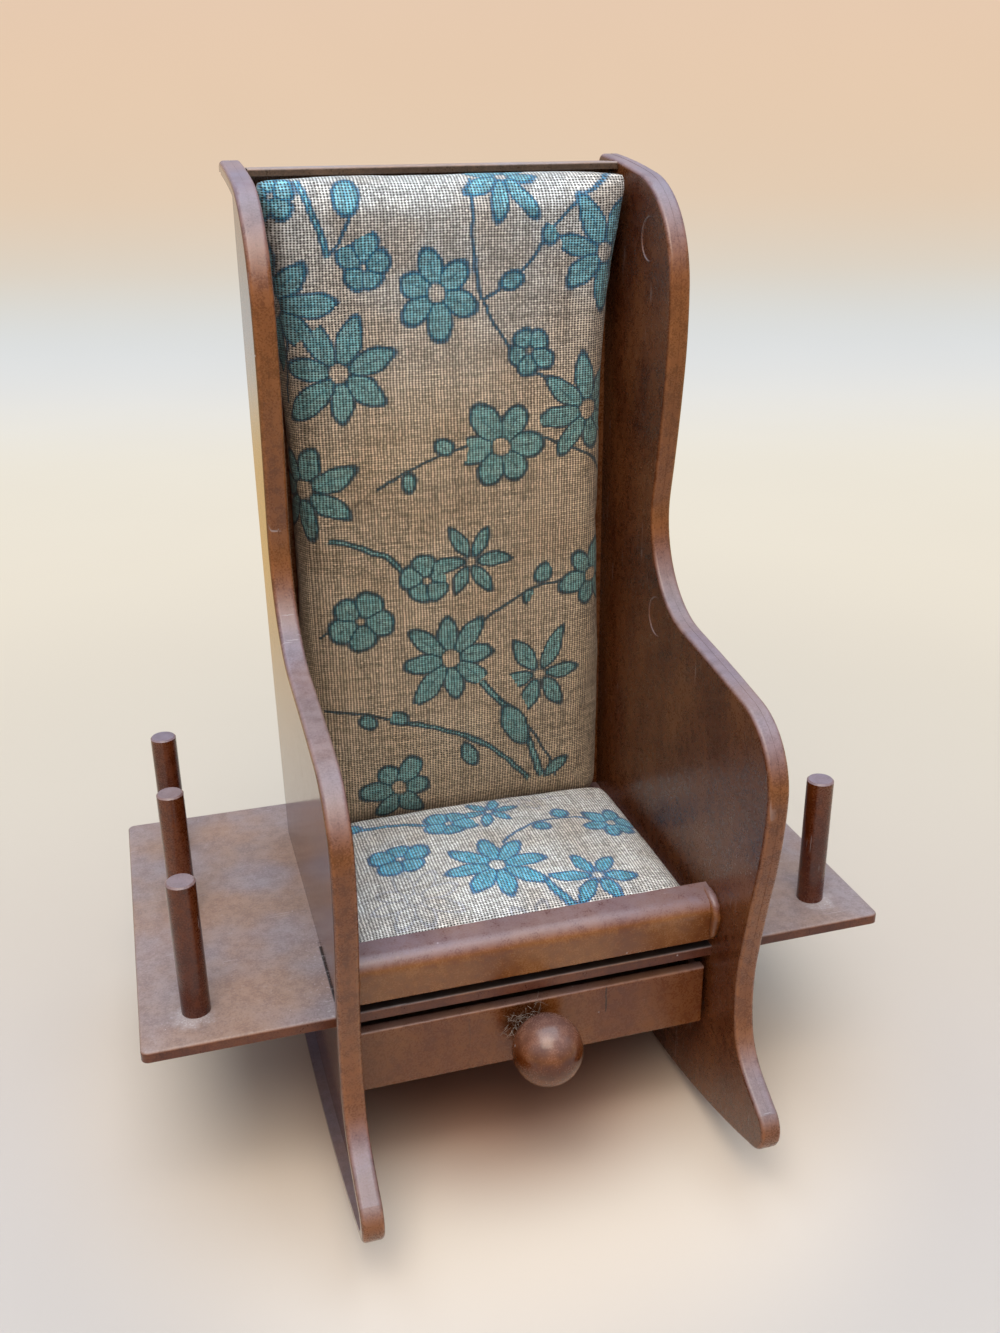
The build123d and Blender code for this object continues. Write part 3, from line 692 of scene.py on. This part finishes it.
def brushed_steel(name):
    """Turned steel of the knob screw."""
    material, g, shader = new_material(name)
    point = g.add("ShaderNodeTexCoord").outputs["Object"]
    lines = g.noise(g.stretched(point, (60.0, 60.0, 4000.0)), 1.0, 2.0)
    g.tree.links.new(g.blend(lines, rgb("#8d8d8a"), rgb("#c9c8c4")), shader.inputs["Base Color"])
    g.tree.links.new(g.math("MULTIPLY_ADD", lines, 0.2, 0.25), shader.inputs["Roughness"])
    shader.inputs["Metallic"].default_value = 1.0
    return material


def lay_cloth(cushion, across, along, height, shoulder, middle, cool_light_share):
    """Writes each point's place on the cloth, in millimetres, with the sides folded out flat, and the share
    of cool overhead light painted into the colour there.
    """
    mesh = cushion.data
    attribute = mesh.attributes.new("cloth", "FLOAT_VECTOR", "POINT")
    values = []
    for vertex in mesh.vertices:
        point = vertex.co / MM
        u, v, down_side = point[across], point[along], shoulder - height(point)
        folded = max(down_side, 0)
        left_right, up_down = vertex.normal[across] ** 2, vertex.normal[along] ** 2
        share = left_right / (left_right + up_down + 1e-6)
        u += math.copysign(folded * share, u)
        v += math.copysign(folded * (1 - share), v - middle)
        values += [u, v, cool_light_share(point)]
    attribute.data.foreach_set("vector", values)


def step(value, start, end):
    """Smooth step in plain numbers."""
    share = min(max((value - start) / (end - start), 0), 1)
    return share * share * (3 - 2 * share)


# The back's top gets painted cool light from above through the third value, rising towards the top; the
# seat gets it all over
lay_cloth(
    back_cushion, 0, 2, lambda p: -p.y, -22.0, 128.0,
    lambda p: step(p.z, 145, 206) * 0.86 + 0.08,
)
lay_cloth(seat_cushion, 0, 1, lambda p: p.z, 57.0, -6.0, lambda p: 1.0)

# A flower is x, y, radius, turn, petals, petal width, bluntness, heart; lengths in millimetres
DAISY = (7, 0.19, 1.75, 0.17)
POINTED = (6, 0.17, 1.6, 0.13)
FULL = (8, 0.185, 1.75, 0.19)
ROUND = (6, 0.27, 2.1, 0.21)
BLOSSOM = (5, 0.42, 2.3, 0.14)
BUD = (1, 0.34, 2.1, 0.0)
LEAF = (1, 0.20, 1.7, 0.0)


def drawn_at(x, y, radius, turn, kind):
    """A flower's numbers. A bud or leaf grows from x, y, and turn is the way that it points."""
    if kind in (BUD, LEAF):
        turn = math.pi - turn
    return (x, y, radius, turn, *kind)


BACK_FLOWERS = [
    drawn_at(20.4, 190.8, 6.0, 1.2, BUD),
    drawn_at(10.0, 183.2, 5.4, 0.4, BUD),
    drawn_at(-0.6, 148.6, 5.6, 2.8, BUD),
    drawn_at(-10.4, 145.2, 5.4, 4.5, BUD),
    drawn_at(-22.0, 86.4, 6.0, 4.3, BUD),
    drawn_at(19.0, 114.4, 6.0, 1.1, BUD),
    drawn_at(17.4, 114.0, 5.0, 4.6, BUD),
    drawn_at(-13.0, 83.8, 5.6, 2.9, BUD),
    drawn_at(0.0, 76.6, 9.0, 5.1, LEAF),
    drawn_at(20.6, 61.2, 9.0, 0.7, LEAF),
    drawn_at(9.4, 85.6, 15.0, 5.2, LEAF),
    drawn_at(-23.0, 197.4, 7.4, 1.3, BUD),
    drawn_at(-18.8, 188.5, 5.9, 0.4, BLOSSOM),
    drawn_at(-4.1, 182.2, 9.6, 0.9, ROUND),
    drawn_at(34.0, 189.6, 12.2, 0.2, DAISY),
    drawn_at(12.1, 205.6, 9.6, 0.5, DAISY),
    drawn_at(16.8, 169.2, 5.8, 1.1, BLOSSOM),
    drawn_at(-39.0, 180.6, 13.4, 0.35, FULL),
    drawn_at(-25.4, 166.7, 13.6, 0.15, DAISY),
    drawn_at(31.3, 155.4, 12.0, 0.25, FULL),
    drawn_at(10.3, 148.5, 11.0, 0.5, ROUND),
    drawn_at(-34.7, 141.3, 12.6, 0.1, DAISY),
    drawn_at(33.4, 115.3, 9.0, 0.3, ROUND),
    drawn_at(2.7, 122.2, 9.8, 0.5, POINTED),
    drawn_at(-8.1, 118.9, 7.0, 0.2, BLOSSOM),
    drawn_at(-23.8, 109.9, 7.6, 0.8, BLOSSOM),
    drawn_at(19.8, 90.9, 12.6, 0.45, POINTED),
    drawn_at(-2.7, 98.5, 12.6, 0.3, FULL),
    drawn_at(-16.2, 64.6, 9.6, 0.5, ROUND),
    drawn_at(-37.3, 202.6, 5.0, 0.3, BLOSSOM),
]
BACK_STEMS = [
    ((4.9, 206.0), (6.2, 180.3), -1.2, 0.1),
    ((6.2, 180.3), (29.0, 158.0), -3.2, 0.1),
    ((6.2, 180.3), (21.0, 194.0), -1.4, 0.1),
    ((21.0, 194.0), (36.5, 205.5), 0.8, 0.1),
    ((-18.7, 140.6), (4.5, 150.1), 1.2, 0.1),
    ((14.0, 150.0), (25.0, 147.6), 1.2, 0.1),
    ((25.0, 148.0), (37.0, 139.5), 1.0, 0.1),
    ((-30.0, 129.6), (-13.0, 120.6), 2.2, 0.55),
    ((4.9, 107.0), (31.1, 115.5), 2.2, 0.1),
    ((-26.6, 190.2), (-21.9, 199.0), -0.8, 0.1),
    ((-31.8, 205.0), (-26.6, 189.8), 0.6, 0.55),
    ((-37.6, 160.0), (-33.8, 176.1), 0.8, 0.1),
    ((-33.0, 105.5), (-27.0, 108.6), 0.8, 0.1),
    ((4.4, 92.0), (20.6, 62.0), 2.2, 0.75),
    ((9.0, 87.0), (25.0, 61.0), 1.8, 0.1),
    ((-33.0, 87.6), (-14.3, 83.4), 0.6, 0.1),
    ((-14.3, 83.4), (17.6, 62.0), 3.4, 0.5),
]
BACK_GHOSTS = [
    drawn_at(3.0, 134.0, 13.0, 0.2, FULL),
    drawn_at(-14.0, 92.0, 11.0, 0.6, DAISY),
    drawn_at(27.0, 74.0, 13.0, 0.1, DAISY),
    drawn_at(-20.0, 128.0, 10.0, 0.9, ROUND),
    drawn_at(20.0, 181.0, 8.0, 0.3, DAISY),
]
SEAT_FLOWERS = [
    drawn_at(18.0, 1.8, 6.0, 1.0, BUD),
    drawn_at(14.0, 0.6, 5.0, 4.6, BUD),
    drawn_at(-32.0, 12.4, 6.0, 0.5, BUD),
    drawn_at(-21.8, -5.1, 6.9, 0.4, BLOSSOM),
    drawn_at(3.6, 9.2, 7.6, 0.4, POINTED),
    drawn_at(-7.2, 6.0, 6.6, 0.9, BLOSSOM),
    drawn_at(30.8, -2.4, 7.0, 0.3, ROUND),
    drawn_at(-1.8, -15.5, 11.6, 0.35, FULL),
    drawn_at(19.1, -24.3, 10.2, 0.7, POINTED),
]
SEAT_STEMS = [
    ((2.0, -7.6), (17.6, 1.6), 1.6, 0.1),
    ((17.6, 1.6), (28.0, -0.8), 1.0, 0.1),
    ((-30.0, 12.6), (-12.0, 7.0), 1.2, 0.45),
    ((7.0, -22.6), (16.0, -38.0), -1.6, 0.75),
    ((-26.0, -32.8), (-12.0, -36.0), 0.8, 0.45),
]
SEAT_GHOSTS = [
    drawn_at(-22.0, -22.0, 11.0, 0.2, FULL),
    drawn_at(12.0, 16.0, 9.0, 0.7, DAISY),
    drawn_at(2.0, -38.0, 9.0, 0.1, DAISY),
]
# The plain ground, fill and line tones are the cotton in painted warm shade; the cool_lit ones are the same
# cotton in painted cool light from above
TONES = {
    "ground": "#dcc4a2", "cool_lit_ground": "#dfe8ed", "aged": "#bb9f7c", "ghost": "#6a6158",
    "fill": "#78b6b4", "cool_lit_fill": "#74c8e2", "line": "#0c4351", "cool_lit_line": "#1576a5",
    # gap: the painted shade in the weave's holes
    "gap": "#1c0e06",
}
SEAT_TONES = dict(
    TONES, cool_lit_ground="#f1f6f8", cool_lit_fill="#54c6ea", cool_lit_line="#1270ac",
    ghost="#6d84b4", gap="#2a2420",
)
groups = {"flower": flower_group(), "stem": stem_group()}
for cushion, name, flowers, stems, ghosts, tones in (
    (back_cushion, "back_cotton", BACK_FLOWERS, BACK_STEMS, BACK_GHOSTS, TONES),
    (seat_cushion, "seat_cotton", SEAT_FLOWERS, SEAT_STEMS, SEAT_GHOSTS, SEAT_TONES),
):
    cushion.data.materials.clear()
    cushion.data.materials.append(cotton(name, flowers, stems, ghosts, groups, tones))


# Each plastic: its dark and light tone, share and tones of the dusty film and painted sky sheen, roughness,
# axis, own marks, and how far its front faces are painted lighter tan
WARM_DUST_AND_SHEEN, COOL_DUST_AND_SHEEN, RAIL_DUST_AND_SHEEN = ("#ad9789", "#a3a0a8"), ("#9a9298", "#9396ac"), ("#807c8a", "#7d829e")
PLASTICS = {
    "side": ("#4c2310", "#6c3c1e", 0.56, COOL_DUST_AND_SHEEN, 0.24, 0, mould_mark_highlights, 0.28),
    "plate": ("#431a0a", "#66331a", 0.74, WARM_DUST_AND_SHEEN, 0.32, 2, tray_marks),
    "peg": ("#431806", "#6a3210", 0.60, COOL_DUST_AND_SHEEN, 0.24, 2),
    "rail": ("#693613", "#8f5c2b", 0.56, RAIL_DUST_AND_SHEEN, 0.19, 2),
    "drawer": ("#5c2b0c", "#754317", 0.30, WARM_DUST_AND_SHEEN, 0.24, 2, drawer_marks),
    "knob": ("#471c06", "#66330f", 0.20, WARM_DUST_AND_SHEEN, 0.17, 2),
    "top": ("#382b24", "#54443a", 0.80, WARM_DUST_AND_SHEEN, 0.30, 2),
}
plastic = {kind: brown_plastic(f"{kind}_plastic", *values) for kind, values in PLASTICS.items()}
finishes = {
    "seat_pan": plastic["rail"], "spool_plate": plastic["plate"], "top_rail": plastic["top"],
    "drawer_knob": plastic["knob"], "drawer_front": plastic["drawer"], "drawer_tray": plastic["drawer"],
    "knob_screw": brushed_steel("steel"),
}
for name, node in nodes.items():
    finish = plastic["peg"] if name.endswith("peg") else finishes.get(name, plastic["side"])
    node.data.materials.clear()
    node.data.materials.append(finish)


# Small pieces


def tube_mesh(mesh, path, radii, sides):
    """Adds a closed tube round a path of points to a bmesh."""
    rings = []
    for k, point in enumerate(path):
        along = (path[min(k + 1, len(path) - 1)] - path[max(k - 1, 0)]).normalized()
        across = along.cross(Vector((0.3, 0.5, 0.8))).normalized()
        other = along.cross(across)
        ring = []
        for j in range(sides):
            angle = 2 * math.pi * j / sides
            offset = across * math.cos(angle) + other * math.sin(angle)
            ring.append(mesh.verts.new(point + offset * radii[k]))
        rings.append(ring)
    for near, far in zip(rings, rings[1:]):
        for j in range(sides):
            mesh.faces.new((near[j], near[(j + 1) % sides], far[(j + 1) % sides], far[j]))
    mesh.faces.new(list(reversed(rings[0])))
    mesh.faces.new(rings[-1])


def finish_piece(name, mesh, material, body):
    """Turns a bmesh into a piece with a material that rides on a body."""
    bmesh.ops.recalc_face_normals(mesh, faces=mesh.faces)
    data = bpy.data.meshes.new(name)
    mesh.to_mesh(data)
    mesh.free()
    piece = link(bpy.data.objects.new(name, data))
    smooth(piece)
    data.materials.append(material)
    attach(piece, body)


def hairs(name, roots, tone, thickness, seed, body):
    """Loose fibres. roots gives each one's start and the way that it leans; each curls by chance."""
    steps = 5
    chance = random.Random(seed)
    mesh = bmesh.new()
    for start, lean in roots(chance):
        bend = Vector([chance.uniform(-1, 1) for _ in range(3)]) * 0.6
        length = chance.uniform(0.0012, 0.0036)
        path = []
        for k in range(steps + 1):
            share = k / steps
            path.append(start + (lean + bend * share).normalized() * length * share)
        radii = [thickness * (1 - 0.6 * k / steps) for k in range(steps + 1)]
        tube_mesh(mesh, path, radii, sides=4)
    material, g, shader = new_material(name)
    point = g.add("ShaderNodeTexCoord").outputs["Object"]
    colour = g.blend(g.noise(point, 900.0, 1.0), rgb(tone[0]), rgb(tone[1]))
    g.tree.links.new(colour, shader.inputs["Base Color"])
    shader.inputs["Roughness"].default_value = 0.8
    finish_piece(name, mesh, material, body)


def knob_lint(chance):
    """Lint caught at the upper left of the knob's neck."""
    for _ in range(70):
        angle = math.radians(chance.uniform(85, 175))
        reach = chance.uniform(0.0034, 0.0080)
        out = Vector((math.cos(angle), 0, math.sin(angle)))
        start = Vector((0, KNOB_Y - chance.uniform(0.0001, 0.0012), KNOB_Z)) + out * reach
        yield start, out * 0.5 + Vector((chance.uniform(-1, 1), -0.5, chance.uniform(-1, 1)))


def cushion_fuzz(chance):
    """Dark fuzz at the seat cushion's front right corner, and along its right edge."""
    for _ in range(34):
        share = chance.random() ** 2.2
        start = Vector((0.0384 + chance.uniform(0, 0.0012), mix(-0.0345, 0.012, share), 0.0575))
        start.z += chance.uniform(-0.0005, 0.0012)
        yield start, Vector((chance.uniform(-0.4, 0.8), chance.uniform(-1, 1), chance.uniform(0.2, 1)))


hairs("knob_lint", knob_lint, ("#8a8078", "#d9d4cd"), 0.000032, 7, "drawer")
hairs("cushion_fuzz", cushion_fuzz, ("#15110f", "#3a322c"), 0.000040, 11, "chair")

# Rounded bead where each end of the front rail runs into its side: Y and Z of its path, and its radii
BEAD_X = 0.0394
BEAD_POINTS = (
    (-0.0362, 0.0606), (-0.0385, 0.0608), (-0.0405, 0.0603), (-0.0423, 0.0590), (-0.0430, 0.0570),
    (-0.0427, 0.0550), (-0.0422, 0.0528), (-0.0416, 0.0510),
)
BEAD_RADII = 0.0005, 0.0010, 0.0012, 0.0012, 0.0012, 0.0011, 0.0010, 0.0006
for hand, side in (("left", -1), ("right", 1)):
    bead = bmesh.new()
    path = [Vector((side * BEAD_X, y, z)) for y, z in BEAD_POINTS]
    tube_mesh(bead, path, BEAD_RADII, sides=12)
    bmesh.ops.subdivide_edges(bead, edges=bead.edges, cuts=1, smooth=1.0, use_grid_fill=True)
    finish_piece(f"{hand}_rail_bead", bead, plastic["rail"], "chair")

# Camera, at the place that the photo's straight edges give
forward = Vector((math.sin(YAW) * math.cos(PITCH), math.cos(YAW) * math.cos(PITCH), -math.sin(PITCH)))
level = Vector((math.cos(YAW), -math.sin(YAW), 0))
down = forward.cross(level)
right = math.cos(ROLL) * level + math.sin(ROLL) * down
below = math.cos(ROLL) * down - math.sin(ROLL) * level
camera = link(bpy.data.objects.new("camera", bpy.data.cameras.new("camera")))
turn = Matrix((right, -below, -forward)).transposed()
camera.matrix_world = Matrix.Translation(CAMERA_PLACE) @ turn.to_4x4()
camera.data.lens = FOCAL_PIXELS / IMAGE_HEIGHT * SENSOR
camera.data.sensor_width = SENSOR
camera.data.clip_start, camera.data.clip_end = 0.01, 10
bpy.context.scene.camera = camera

# Floor that curves up into a backdrop, square to the camera's heading. Its tones run along it
SWEEP_NEAR, SWEEP_START, SWEEP_RADIUS, SWEEP_TOP = -2.5, 0.75, 0.35, 2.2
SWEEP_HALF_WIDTH, SWEEP_STEPS = 3, 24
SWEEP_TONES = (
    (-0.10, "#dcd9d5"), (-0.04, "#e3deda"), (0.03, "#e6ddd2"), (0.14, "#ece4d5"), (0.33, "#eee5d5"),
    (0.62, "#eee8da"), (0.80, "#ebe9e4"), (0.92, "#dfe2e4"), (1.00, "#dcddda"), (1.08, "#ddd4c6"),
    (1.20, "#e4ccb2"), (1.45, "#ebcbad"), (1.62, "#dccbc4"), (1.85, "#c3c6ea"), (2.60, "#b9c4f0"),
)


def sweep():
    """The stage's mesh and its material, coloured along the sweep."""
    profile = [(SWEEP_NEAR, 0.0), (SWEEP_START, 0.0)]
    for k in range(1, SWEEP_STEPS + 1):
        angle = k / SWEEP_STEPS * math.pi / 2
        profile.append((SWEEP_START + SWEEP_RADIUS * math.sin(angle), SWEEP_RADIUS * (1 - math.cos(angle))))
    profile.append((SWEEP_START + SWEEP_RADIUS, SWEEP_TOP))
    heading = Vector((math.sin(YAW), math.cos(YAW), 0))
    across = Vector((math.cos(YAW), -math.sin(YAW), 0))
    points, faces = [], []
    for distance, height in profile:
        for side in (-SWEEP_HALF_WIDTH, SWEEP_HALF_WIDTH):
            points.append(heading * distance + across * side + Vector((0, 0, height)))
    for k in range(len(profile) - 1):
        faces.append((2 * k, 2 * k + 1, 2 * k + 3, 2 * k + 2))
    data = bpy.data.meshes.new("sweep")
    data.from_pydata(points, [], faces)
    obj = link(bpy.data.objects.new("sweep", data))
    smooth(obj)

    material, g, shader = new_material("sweep_paper")
    place = g.add("ShaderNodeNewGeometry").outputs["Position"]
    direction = (math.sin(YAW), math.cos(YAW), 1.0)
    along = g.measure("DOT_PRODUCT", place, direction)
    start, end = SWEEP_TONES[0][0], SWEEP_TONES[-1][0]
    share = g.math("DIVIDE", g.math("SUBTRACT", along, start), end - start)
    ramp = g.add("ShaderNodeValToRGB", {0: share})
    ramp.color_ramp.interpolation = "B_SPLINE"
    stops = ramp.color_ramp.elements
    stops[0].color, stops[1].color = rgb(SWEEP_TONES[0][1]), rgb(SWEEP_TONES[-1][1])
    for place_along, code in SWEEP_TONES[1:-1]:
        stops.new((place_along - start) / (end - start)).color = rgb(code)
    cloud = g.noise(place, 9.0, 2.0)
    paper = g.blend(cloud, ramp.outputs[0], g.blend(0.03, ramp.outputs[0], rgb("#806040")))

    # Where the object's light and shadow fall: browner right under it, paler round it, dark far away
    length = g.measure("LENGTH", place)
    far = g.ease(length, 0.45, 0.90)
    near = g.invert(g.ease(length, 0.018, 0.064))
    around = g.invert(g.ease(length, 0.06, 0.12))
    floor = g.blend(0.25, paper, (0.0, 0.0, 0.0, 1.0))
    floor = g.blend(g.math("MULTIPLY", around, 0.45), floor, rgb("#fff0d8"))
    floor = g.blend(g.math("MULTIPLY", near, 0.78), floor, rgb("#8c4714"))
    g.tree.links.new(g.blend(far, floor, rgb("#5e544c")), shader.inputs["Base Color"])
    shader.inputs["Roughness"].default_value = 0.95

    # Farther out the paper shows its own tone to the camera, and a warmer one in reflections
    rays = g.add("ShaderNodeLightPath").outputs
    seen = g.math("MAXIMUM", rays["Is Glossy Ray"], rays["Is Transmission Ray"])
    seen = g.math("MAXIMUM", rays["Is Camera Ray"], seen)
    glow = g.math("MULTIPLY", seen, g.ease(length, 0.10, 0.45))
    mirrored = g.math("MULTIPLY", rays["Is Glossy Ray"], g.invert(g.ease(along, 0.50, 1.10)))
    tint = g.blend(mirrored, (1.0, 1.0, 1.0, 1.0), (1.12, 0.84, 0.46, 1.0))
    shown = g.add("ShaderNodeVectorMath", {0: paper, 1: tint}, operation="MULTIPLY").outputs[0]
    light = g.add("ShaderNodeEmission", {"Color": shown, "Strength": 1.0}).outputs[0]
    mixed = g.add("ShaderNodeMixShader", {0: glow, 1: shader.outputs[0], 2: light}).outputs[0]
    output = next(n for n in g.tree.nodes if n.type == "OUTPUT_MATERIAL")
    g.tree.links.new(mixed, output.inputs["Surface"])
    obj.data.materials.append(material)


sweep()


def lamp(name, place, aim, size, watts, colour):
    """Soft square lamp at a place, turned towards a point."""
    light = bpy.data.lights.new(name, "AREA")
    light.size = size
    light.energy = watts
    light.color = colour
    obj = link(bpy.data.objects.new(name, light))
    obj.location = place
    obj.rotation_mode = "QUATERNION"
    obj.rotation_quaternion = (Vector(aim) - Vector(place)).to_track_quat("-Z", "Y")


AIM = (0, 0, 0.08)
lamp("sky", (0.0, 0.05, 1.15), AIM, size=1.3, watts=11.5, colour=(0.82, 0.91, 1.0))
lamp("window", (-0.20, -0.58, 1.0), AIM, size=0.7, watts=8.0, colour=(1.0, 0.83, 0.66))

# World: warm and weak at the horizon, cool and stronger overhead
WARM_HORIZON, COOL_OVERHEAD = (1.0, 0.78, 0.58, 1.0), (0.80, 0.86, 1.0, 1.0)
world = bpy.data.worlds.new("world")
world.use_nodes = True
surround = Graph(world.node_tree)
rays = surround.add("ShaderNodeLightPath").outputs
mirror = surround.math("MAXIMUM", rays["Is Camera Ray"], rays["Is Glossy Ray"])
height = surround.split(surround.add("ShaderNodeTexCoord").outputs["Generated"])[2]
overhead = surround.ease(height, 0.05, 0.65)
sky_tone = surround.blend(overhead, WARM_HORIZON, COOL_OVERHEAD)
background = world.node_tree.nodes["Background"]
strength = surround.math("MULTIPLY_ADD", mirror, 0.42, 0.18)
strength = surround.math("MULTIPLY_ADD", overhead, 0.42, strength)
world.node_tree.links.new(strength, background.inputs["Strength"])
world.node_tree.links.new(sky_tone, background.inputs["Color"])
bpy.context.scene.world = world
bpy.context.scene.view_settings.view_transform = "Standard"
